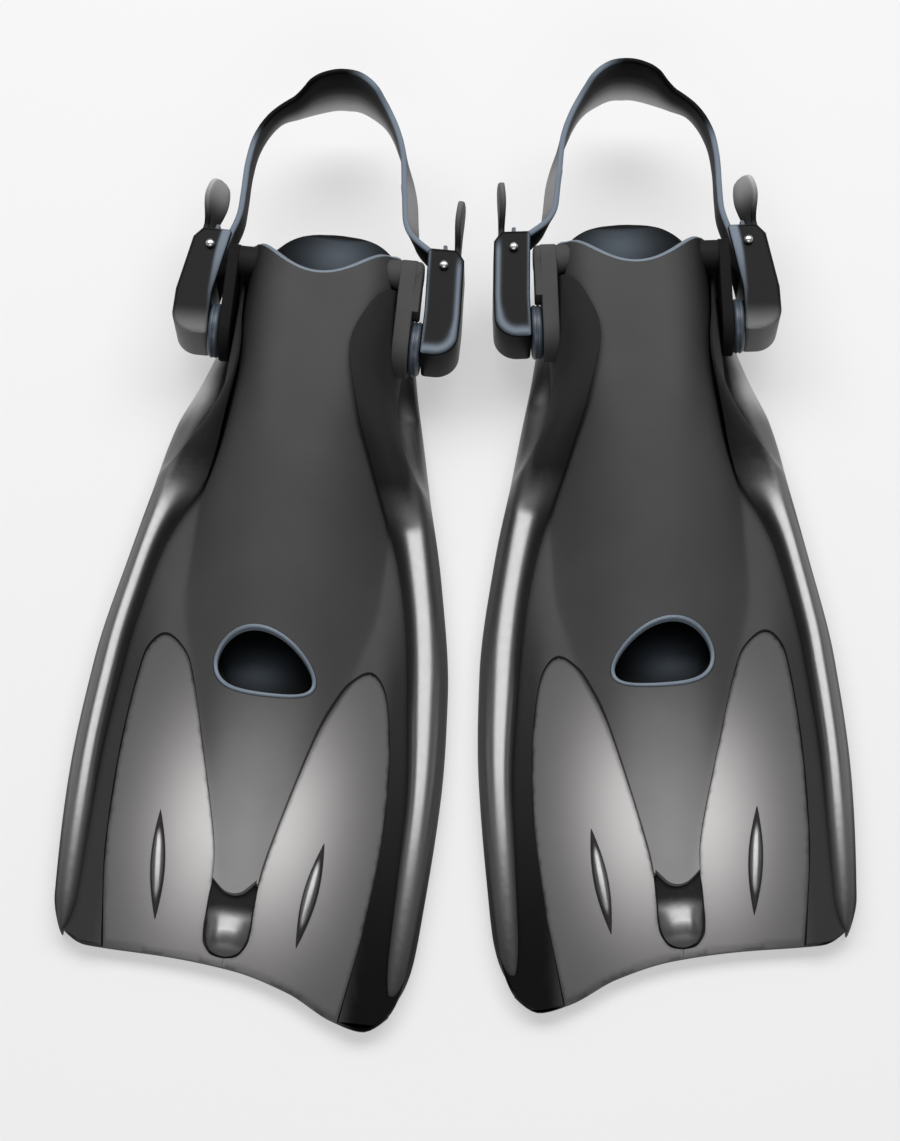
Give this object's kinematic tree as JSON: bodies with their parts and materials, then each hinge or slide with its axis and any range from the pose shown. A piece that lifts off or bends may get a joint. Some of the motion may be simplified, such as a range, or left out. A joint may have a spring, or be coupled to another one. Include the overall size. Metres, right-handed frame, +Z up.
{
  "type": "swim fins",
  "caption": "Pair of open-heel swim fins with flexible blade panels, glossy side rails, toe vents, swivel buckles and adjustable heel straps.",
  "frame": {"origin": "on the floor at the centre of the pair's bounding box", "axes": "+X from the right fin to the left fin, +Y from the blade tips to the heel straps, +Z up; the soles lie on Z = 0"},
  "size_m": [0.4254, 0.574, 0.0809],
  "materials": {
    "pocket_rubber": "satin rubber with a fine grain",
    "sole_rubber": "matt black rubber",
    "blade_plastic": "satin black plastic",
    "panel_plastic": "satin warm grey plastic",
    "rail_plastic": "glossy black",
    "rim_rubber": "blue-grey rubber edge",
    "buckle_plastic": "glossy black with blue-grey bevels",
    "swivel_plastic": "blue-grey plastic",
    "pin_steel": "polished steel",
    "strap_rubber": "smooth black rubber with blue-grey edges"
  },
  "bodies": {
    "right_fin": {"right_foot_pocket": "pocket_rubber", "right_footbed": "sole_rubber", "right_blade_plate": "blade_plastic", "right_lateral_panel": "panel_plastic", "right_medial_panel": "panel_plastic", "right_lateral_panel_rib": "rail_plastic", "right_medial_panel_rib": "rail_plastic", "right_lateral_rail": "rail_plastic", "right_medial_rail": "rail_plastic", "right_centre_rib": "rail_plastic", "right_vent_rim": "rim_rubber", "right_lateral_anchor": "pocket_rubber", "right_medial_anchor": "pocket_rubber", "right_lateral_swivel_post": "swivel_plastic", "right_medial_swivel_post": "swivel_plastic"},
    "right_strap": {"right_heel_strap": "strap_rubber", "right_lateral_buckle": "buckle_plastic", "right_medial_buckle": "buckle_plastic", "right_lateral_rivet": "pin_steel", "right_medial_rivet": "pin_steel"},
    "right_lateral_roller": {"right_lateral_roller": "swivel_plastic"},
    "right_lateral_lever": {"right_lateral_lever": "swivel_plastic"},
    "right_medial_roller": {"right_medial_roller": "swivel_plastic"},
    "right_medial_lever": {"right_medial_lever": "swivel_plastic"},
    "left_fin": {"left_foot_pocket": "pocket_rubber", "left_footbed": "sole_rubber", "left_blade_plate": "blade_plastic", "left_lateral_panel": "panel_plastic", "left_medial_panel": "panel_plastic", "left_lateral_panel_rib": "rail_plastic", "left_medial_panel_rib": "rail_plastic", "left_lateral_rail": "rail_plastic", "left_medial_rail": "rail_plastic", "left_centre_rib": "rail_plastic", "left_vent_rim": "rim_rubber", "left_lateral_anchor": "pocket_rubber", "left_medial_anchor": "pocket_rubber", "left_lateral_swivel_post": "swivel_plastic", "left_medial_swivel_post": "swivel_plastic"},
    "left_strap": {"left_heel_strap": "strap_rubber", "left_lateral_buckle": "buckle_plastic", "left_medial_buckle": "buckle_plastic", "left_lateral_rivet": "pin_steel", "left_medial_rivet": "pin_steel"},
    "left_lateral_roller": {"left_lateral_roller": "swivel_plastic"},
    "left_lateral_lever": {"left_lateral_lever": "swivel_plastic"},
    "left_medial_roller": {"left_medial_roller": "swivel_plastic"},
    "left_medial_lever": {"left_medial_lever": "swivel_plastic"}
  },
  "joints": [
    {"name": "pair_spacing", "type": "slide", "parent": "right_fin", "child": "left_fin", "axis": [1, 0, 0], "range_m": [0, 0.25]},
    {"name": "right_strap_swing", "type": "hinge", "parent": "right_fin", "child": "right_strap", "pos_m": [-0.08188, 0.11356, 0.04], "axis": [0.9939, -0.1103, 0], "range_deg": [-12, 105]},
    {"name": "right_lateral_roller_spin", "type": "hinge", "parent": "right_strap", "child": "right_lateral_roller", "pos_m": [-0.15174, 0.12231, 0.04012], "axis": [-0.0134, -0.1211, 0.9925], "continuous": true},
    {"name": "right_lateral_lever_lift", "type": "hinge", "parent": "right_strap", "child": "right_lateral_lever", "pos_m": [-0.13996, 0.16594, 0.04561], "axis": [-0.0134, -0.1211, 0.9925], "range_deg": [0, 12], "stiffness_Nm_per_rad": 0.05},
    {"name": "right_medial_roller_spin", "type": "hinge", "parent": "right_strap", "child": "right_medial_roller", "pos_m": [-0.00812, 0.10637, 0.04012], "axis": [-0.0134, -0.1211, 0.9925], "continuous": true},
    {"name": "right_medial_lever_lift", "type": "hinge", "parent": "right_strap", "child": "right_medial_lever", "pos_m": [-0.00699, 0.15119, 0.04561], "axis": [-0.0134, -0.1211, 0.9925], "range_deg": [-12, 0], "stiffness_Nm_per_rad": 0.05},
    {"name": "left_strap_swing", "type": "hinge", "parent": "left_fin", "child": "left_strap", "pos_m": [0.10433, 0.12056, 0.04], "axis": [0.9993, 0.0372, 0], "range_deg": [-12, 105]},
    {"name": "left_lateral_roller_spin", "type": "hinge", "parent": "left_strap", "child": "left_lateral_roller", "pos_m": [0.17464, 0.12417, 0.04012], "axis": [0.0045, -0.1218, 0.9925], "continuous": true},
    {"name": "left_lateral_lever_lift", "type": "hinge", "parent": "left_strap", "child": "left_lateral_lever", "pos_m": [0.1661, 0.16855, 0.04561], "axis": [0.0045, -0.1218, 0.9925], "range_deg": [-12, 0], "stiffness_Nm_per_rad": 0.05},
    {"name": "left_medial_roller_spin", "type": "hinge", "parent": "left_strap", "child": "left_medial_roller", "pos_m": [0.03025, 0.1188, 0.04012], "axis": [0.0045, -0.1218, 0.9925], "continuous": true},
    {"name": "left_medial_lever_lift", "type": "hinge", "parent": "left_strap", "child": "left_medial_lever", "pos_m": [0.0324, 0.16358, 0.04561], "axis": [0.0045, -0.1218, 0.9925], "range_deg": [0, 12], "stiffness_Nm_per_rad": 0.05}
  ]
}
